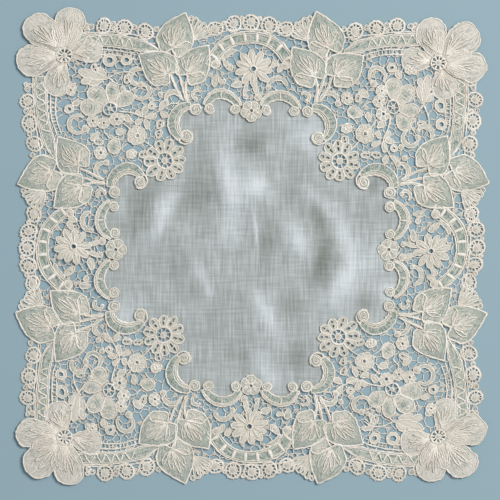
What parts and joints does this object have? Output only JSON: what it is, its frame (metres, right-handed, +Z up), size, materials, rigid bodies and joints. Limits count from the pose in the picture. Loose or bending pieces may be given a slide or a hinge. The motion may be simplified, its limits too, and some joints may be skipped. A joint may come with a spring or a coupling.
{
  "type": "lace handkerchief",
  "caption": "Square handkerchief laid flat, with a cross-shaped sheer linen centre and a wide needle-lace border of corner flowers, leaves, scrolls and a scalloped edge.",
  "frame": {"origin": "middle of the underside of the cloth, on the surface that it lies on", "axes": "+X and +Y along the sides of the cloth, +Z up out of the surface"},
  "size_m": [0.3305, 0.3353, 0.0024],
  "materials": {
    "sheer_linen": "sheer plain weave, matt",
    "lace_thread": "matt cotton thread, needle worked"
  },
  "bodies": {
    "root": {"linen_centre": "sheer_linen", "lace_border": "lace_thread"}
  },
  "joints": []
}
